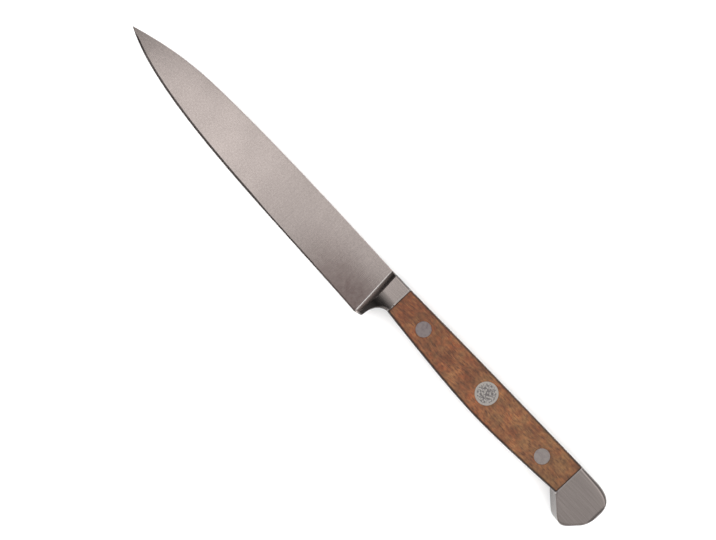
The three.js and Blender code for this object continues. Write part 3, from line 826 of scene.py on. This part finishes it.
# Nodes that turn a rivet half from its profile, with the head's face at z = 0 and the shank below it
turning = bpy.data.node_groups.new("rivet_half", "GeometryNodeTree")
turning.interface.new_socket("Geometry", in_out="OUTPUT", socket_type="NodeSocketGeometry")
size_names = (
    "Head Radius", "Head Thickness", "Edge Break", "Shank Radius", "Shank Length", "Bore Radius",
    "Bore Depth", "Field Radius", "Field Depth", "Stipple Size", "Stipple Height", "Stipple Seed",
)
count_names = ("Sides", "Field Rings")
identifiers = {}
for names, kind in ((size_names, "NodeSocketFloat"), (count_names, "NodeSocketInt")):
    for name in names:
        entry = turning.interface.new_socket(name, in_out="INPUT", socket_type=kind)
        identifiers[name] = entry.identifier
sizes = add_node(turning, "NodeGroupInput").outputs

# Profile from the middle of the face out to the head's edge, down to the shank's end and back to the axis
rail_radius = 1.0
rim_radius = add_node(turning, "ShaderNodeMath", {
    0: sizes["Field Radius"], 1: sizes["Field Depth"],
}, operation="ADD")
break_radius = add_node(turning, "ShaderNodeMath", {
    0: sizes["Head Radius"], 1: sizes["Edge Break"],
}, operation="SUBTRACT")
bore_end = add_node(turning, "ShaderNodeMath", {
    0: sizes["Shank Length"], 1: sizes["Bore Depth"],
}, operation="SUBTRACT")
profile = [
    (0.0, sizes["Field Depth"]),
    (sizes["Field Radius"], sizes["Field Depth"]),
    (rim_radius, 0.0),
    (break_radius, 0.0),
    (sizes["Head Radius"], sizes["Edge Break"]),
    (sizes["Head Radius"], sizes["Head Thickness"]),
    (sizes["Shank Radius"], sizes["Head Thickness"]),
    (sizes["Shank Radius"], sizes["Shank Length"]),
    (sizes["Bore Radius"], sizes["Shank Length"]),
    (sizes["Bore Radius"], bore_end),
    (0.0, bore_end),
]
number = add_node(turning, "GeometryNodeInputIndex")
corner_at = add_node(turning, "GeometryNodeIndexSwitch", {"Index": number}, data_type="VECTOR")
while len(corner_at.index_switch_items) < len(profile):
    corner_at.index_switch_items.new()
for at, (radius, depth) in enumerate(profile):
    off_rail = add_node(turning, "ShaderNodeMath", {0: radius, 1: rail_radius}, operation="SUBTRACT")
    profile_corner = add_node(turning, "ShaderNodeCombineXYZ", {"X": off_rail, "Y": depth})
    connect(turning, corner_at, {at + 1: profile_corner})
line = add_node(turning, "GeometryNodeMeshLine", {"Count": len(profile)})
cornered = add_node(turning, "GeometryNodeSetPosition", {"Geometry": line, "Position": corner_at})
outline = add_node(turning, "GeometryNodeMeshToCurve", {"Mesh": cornered})

# The stamped field is the profile's first stretch, cut into rings for the stipple
on_field = add_node(turning, "ShaderNodeMath", {0: number, 1: 0.5}, operation="LESS_THAN")
field_cuts = add_node(turning, "ShaderNodeMath", {
    0: on_field, 1: sizes["Field Rings"],
}, operation="MULTIPLY")
finer = add_node(turning, "GeometryNodeSubdivideCurve", {"Curve": outline, "Cuts": field_cuts})
rail = add_node(turning, "GeometryNodeCurvePrimitiveCircle", {
    "Resolution": sizes["Sides"], "Radius": rail_radius,
})
lathe = add_node(turning, "GeometryNodeCurveToMesh", {"Curve": rail, "Profile Curve": finer})
welded = add_node(turning, "GeometryNodeMergeByDistance", {"Geometry": lathe, "Distance": weld_distance})

# Stipple: round pellets in an irregular pattern, inside the field's border and on the face only
pellet_top, pellet_foot = 0.3, 0.7  # as shares of the stipple's size
field_border = 0.05
spot = add_node(turning, "ShaderNodeSeparateXYZ", {
    "Vector": add_node(turning, "GeometryNodeInputPosition"),
}).outputs
seeded_spot = add_node(turning, "ShaderNodeCombineXYZ", {
    "X": spot["X"], "Y": spot["Y"], "Z": sizes["Stipple Seed"],
})
stipple_scale = add_node(turning, "ShaderNodeMath", {0: 1.0, 1: sizes["Stipple Size"]}, operation="DIVIDE")
pattern = add_node(turning, "ShaderNodeTexVoronoi", {
    "Vector": seeded_spot, "Scale": stipple_scale,
}, feature="F1")
pellet = add_node(turning, "ShaderNodeMapRange", {
    "Value": pattern.outputs["Distance"], "From Min": pellet_top, "From Max": pellet_foot,
    "To Min": 1.0, "To Max": 0.0,
}, interpolation_type="SMOOTHSTEP")
level_spot = add_node(turning, "ShaderNodeCombineXYZ", {"X": spot["X"], "Y": spot["Y"]})
from_axis = add_node(turning, "ShaderNodeVectorMath", {0: level_spot}, operation="LENGTH")
stipple_reach = add_node(turning, "ShaderNodeMath", {
    0: sizes["Field Radius"], 1: field_border,
}, operation="SUBTRACT")
in_field = add_node(turning, "ShaderNodeMath", {0: from_axis, 1: stipple_reach}, operation="LESS_THAN")
half_way_down = add_node(turning, "ShaderNodeMath", {
    0: sizes["Head Thickness"], 1: -0.5,
}, operation="MULTIPLY")
on_face = add_node(turning, "ShaderNodeMath", {0: spot["Z"], 1: half_way_down}, operation="GREATER_THAN")
field = add_node(turning, "ShaderNodeMath", {0: in_field, 1: on_face}, operation="MULTIPLY")
pellets = add_node(turning, "ShaderNodeMath", {0: field, 1: pellet}, operation="MULTIPLY")
between_pellets = add_node(turning, "ShaderNodeMath", {0: field, 1: pellets}, operation="SUBTRACT")
rise = add_node(turning, "ShaderNodeMath", {0: pellets, 1: sizes["Stipple Height"]}, operation="MULTIPLY")
raised = add_node(turning, "ShaderNodeCombineXYZ", {"Z": rise})
stippled = add_node(turning, "GeometryNodeSetPosition", {"Geometry": welded, "Offset": raised})
marked = add_node(turning, "GeometryNodeStoreNamedAttribute", {
    "Geometry": stippled, "Name": "recess", "Value": between_pellets,
})
realized = add_node(turning, "GeometryNodeRealizeInstances", {"Geometry": marked})
finished = add_node(turning, "GeometryNodeSetMaterial", {"Geometry": realized, "Material": rivet_steel})
add_node(turning, "NodeGroupOutput", {"Geometry": finished})


def rivet_half(values):
    """Mesh of one rivet half, turned by the nodes from its named sizes."""
    blank = bpy.data.objects.new("blank", bpy.data.meshes.new("blank"))
    into_scene(blank)
    turned = blank.modifiers.new("turning", "NODES")
    turned.node_group = turning
    for name, value in values.items():
        turned[identifiers[name]] = value
    made = bpy.data.meshes.new_from_object(blank.evaluated_get(bpy.context.evaluated_depsgraph_get()))
    bpy.data.objects.remove(blank)
    facing = bmesh.new()
    facing.from_mesh(made)
    bmesh.ops.recalc_face_normals(facing, faces=facing.faces)
    facing.to_mesh(made)
    facing.free()
    return made


stamp = {
    "Field Radius": field_diameter / 2, "Field Depth": field_depth, "Stipple Height": stipple_height,
    "Sides": stamped_sides, "Field Rings": field_rings,
}
no_stamp = {
    "Field Radius": 0.0, "Field Depth": 0.0, "Stipple Height": 0.0, "Sides": plain_sides, "Field Rings": 0,
}
turned_over = Matrix.Rotation(math.pi, 4, "X")
for position, rivet in rivets.items():
    shank_length = handle_thickness - rivet.head_thickness - rivet_end_room
    either_half = {
        "Head Radius": rivet.head / 2, "Head Thickness": rivet.head_thickness, "Edge Break": edge_break,
        "Shank Length": shank_length, "Stipple Size": stipple_size, "Stipple Seed": stipple_seed,
        **(stamp if position == "middle" else no_stamp),
    }
    tube_half = rivet_half({
        **either_half, "Shank Radius": rivet.tube / 2,
        "Bore Radius": rivet.pin / 2 + rivet_fit, "Bore Depth": shank_length - rivet.head_thickness,
    })
    tube_half.transform(Matrix.Translation((rivet.x, rivet.y, -half_handle)) @ turned_over)
    piece(f"{position}_rivet_tube_half", tube_half, rivet_steel, f"{position}_rivet_tube")
    pin_half = rivet_half({
        **either_half, "Shank Radius": rivet.pin / 2, "Bore Radius": 0.0, "Bore Depth": 0.0,
    })
    pin_half.transform(Matrix.Translation((rivet.x, rivet.y, half_handle)))
    piece(f"{position}_rivet_pin_half", pin_half, rivet_steel, f"{position}_rivet_pin")

# STAGE. A plain white table with soft studio light from above, and the camera straight over the knife.
# Places and sizes here are metres.

# Matt white laminate: it scatters light evenly and mirrors next to nothing
laminate = bpy.data.materials.new("matt_white_laminate")
laminate.use_nodes = True
connect(laminate.node_tree, laminate.node_tree.nodes["Principled BSDF"], {
    "Base Color": linear("fafafa"), "Roughness": 0.9,
})
floor_reach = 3.0
floor_sides = ((-1, -1), (1, -1), (1, 1), (-1, 1))
floor_corners = [(x * floor_reach, y * floor_reach, 0.0) for x, y in floor_sides]
floor_mesh = bpy.data.meshes.new("floor")
floor_mesh.from_pydata(floor_corners, [], [(0, 1, 2, 3)])
floor_mesh.materials.append(laminate)
floor = bpy.data.objects.new("floor", floor_mesh)
into_scene(floor)

# The room is lit on the side of the spine and dim on the side of the edge, with pale walls low down
lit_towards = (0.15, 0.99, 0.0)
dim_at, lit_at = -0.12, 0.8  # how far an aim goes towards the light
dim_strength, lit_strength = 0.03, 0.7
wall_full, wall_end, wall_strength = 0.53, 0.7, 0.6  # and upwards
world = bpy.data.worlds.new("studio")
world.use_nodes = True
tree = world.node_tree
aim = add_node(tree, "ShaderNodeTexCoord").outputs["Generated"]
towards_light = add_node(tree, "ShaderNodeVectorMath", {0: aim, 1: lit_towards}, operation="DOT_PRODUCT")
room = add_node(tree, "ShaderNodeMapRange", {
    "Value": towards_light, "From Min": dim_at, "From Max": lit_at,
    "To Min": dim_strength, "To Max": lit_strength,
}, interpolation_type="SMOOTHSTEP")
aim_height = add_node(tree, "ShaderNodeSeparateXYZ", {"Vector": aim}).outputs["Z"]
walls = add_node(tree, "ShaderNodeMapRange", {
    "Value": aim_height, "From Min": wall_full, "From Max": wall_end, "To Min": wall_strength, "To Max": 0.0,
}, interpolation_type="SMOOTHSTEP")
around = add_node(tree, "ShaderNodeMath", {0: room, 1: walls}, operation="MAXIMUM")
connect(tree, tree.nodes["Background"], {"Color": linear("ffffff"), "Strength": around})
bpy.context.scene.world = world


def softbox(name, place, width, depth, brightness, turn=0.0, mirrored=True):
    """A level soft light, turned about the upright. Metal mirrors it or not."""
    light = bpy.data.lights.new(name, "AREA")
    light.shape = "RECTANGLE"
    light.size = width
    light.size_y = depth
    light.energy = brightness * math.pi * width * depth
    made = bpy.data.objects.new(name, light)
    made.matrix_world = Matrix.Translation(place) @ Matrix.Rotation(turn, 4, "Z")
    made.visible_glossy = mirrored
    into_scene(made)


# Two broad softboxes hang over the knife, and three narrow ones make the blade's bright bands.
# The last light is for wood and table, and the steel doesn't mirror it.
camera_turn = math.radians(46.9)
band_turn = math.radians(14)
softbox("overhead_softbox", (0.165, 0.065, 0.9), width=1.17, depth=0.97, brightness=0.2)
softbox("wide_softbox", (0.4, 0.125, 0.95), width=1.64, depth=1.55, brightness=0.13)
softbox("blade_strip", (-0.14, -0.045, 0.88), width=0.4, depth=0.17, brightness=0.55, turn=band_turn)
softbox("blade_spot", (-0.23, -0.082, 0.87), width=0.16, depth=0.2, brightness=0.62, turn=band_turn)
softbox("tip_spot", (-0.435, 0.01, 0.87), width=0.14, depth=0.24, brightness=0.36, turn=band_turn)
softbox("table_light", (0.0, -0.5, 1.4), width=3.4, depth=3.4, brightness=1.97,
        turn=camera_turn, mirrored=False)

image_width, focal_pixels = 716, 1200
lens = bpy.data.cameras.new("camera")
lens.sensor_width = 36.0
lens.lens = focal_pixels / image_width * lens.sensor_width
lens.clip_start = 0.01
camera = bpy.data.objects.new("camera", lens)
camera.location = (-0.00133, 0.00041, 0.443)
camera.rotation_euler = (0.0, 0.0, camera_turn)
into_scene(camera)
bpy.context.scene.camera = camera
bpy.context.scene.view_settings.view_transform = "Standard"
